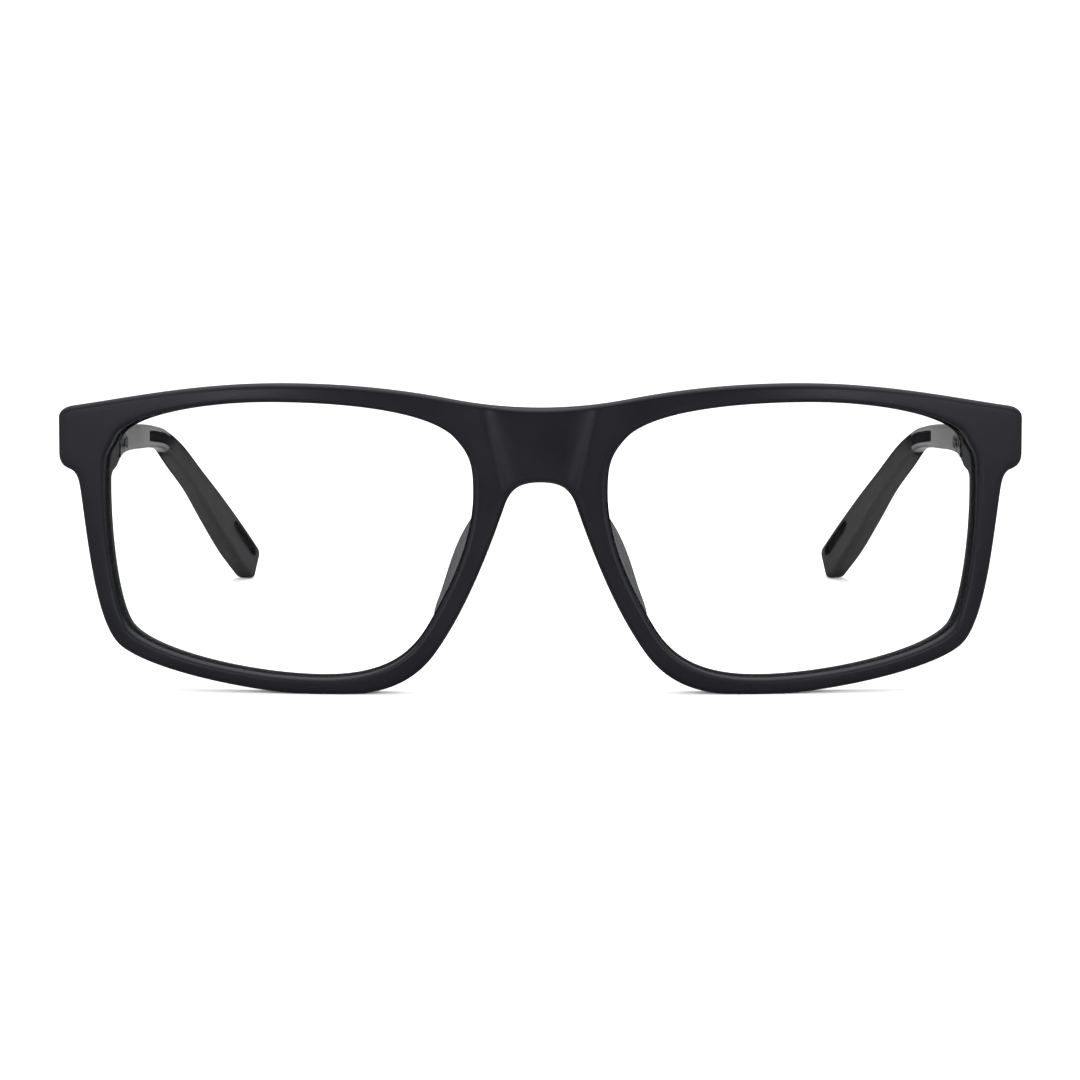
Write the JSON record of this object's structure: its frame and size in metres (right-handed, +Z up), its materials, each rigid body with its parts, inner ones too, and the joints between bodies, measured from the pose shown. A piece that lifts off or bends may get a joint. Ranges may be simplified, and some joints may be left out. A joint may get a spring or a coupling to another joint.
{
  "type": "eyeglasses frame",
  "caption": "Full-rim rectangular eyeglasses with a curved plastic front, clear lenses, metal temples that fold on barrel hinges and rubber tips.",
  "frame": {"origin": "on the surface that the glasses stand on, under the middle of the overall box, temples open", "axes": "+X towards the wearer's left, +Y from the front towards the temple tips, +Z up"},
  "size_m": [0.1412, 0.1382, 0.0454],
  "materials": {
    "front_plastic": "satin black injection-moulded plastic",
    "lens": "clear coated plano demonstration lens",
    "pad_rubber": "soft matte charcoal elastomer",
    "hinge_black": "black plated steel, satin",
    "screw_steel": "dark satin steel screws and rivets",
    "temple_metal": "satin gunmetal",
    "tip_rubber": "matte black elastomer"
  },
  "bodies": {
    "front": {"frame_front": "front_plastic", "lens_left": "lens", "lens_right": "lens", "nose_pad_left": "pad_rubber", "nose_pad_right": "pad_rubber", "hinge_front_leaf_left": "hinge_black", "hinge_front_leaf_right": "hinge_black", "hinge_screw_left": "screw_steel", "hinge_screw_right": "screw_steel", "front_rivet_lower_left": "screw_steel", "front_rivet_lower_right": "screw_steel", "front_rivet_upper_left": "screw_steel", "front_rivet_upper_right": "screw_steel"},
    "temple_left": {"temple_arm_left": "temple_metal", "temple_tip_left": "tip_rubber", "hinge_temple_leaf_left": "hinge_black", "temple_rivet_lower_left": "screw_steel", "temple_rivet_upper_left": "screw_steel"},
    "temple_right": {"temple_arm_right": "temple_metal", "temple_tip_right": "tip_rubber", "hinge_temple_leaf_right": "hinge_black", "temple_rivet_lower_right": "screw_steel", "temple_rivet_upper_right": "screw_steel"}
  },
  "joints": [
    {"name": "hinge_left", "type": "hinge", "parent": "front", "child": "temple_left", "pos_m": [0.0634, -0.0546, 0.037], "axis": [0, 0, 1], "range_deg": [0, 87]},
    {"name": "hinge_right", "type": "hinge", "parent": "front", "child": "temple_right", "pos_m": [-0.0634, -0.0546, 0.037], "axis": [0, 0, -1], "range_deg": [0, 82]}
  ]
}
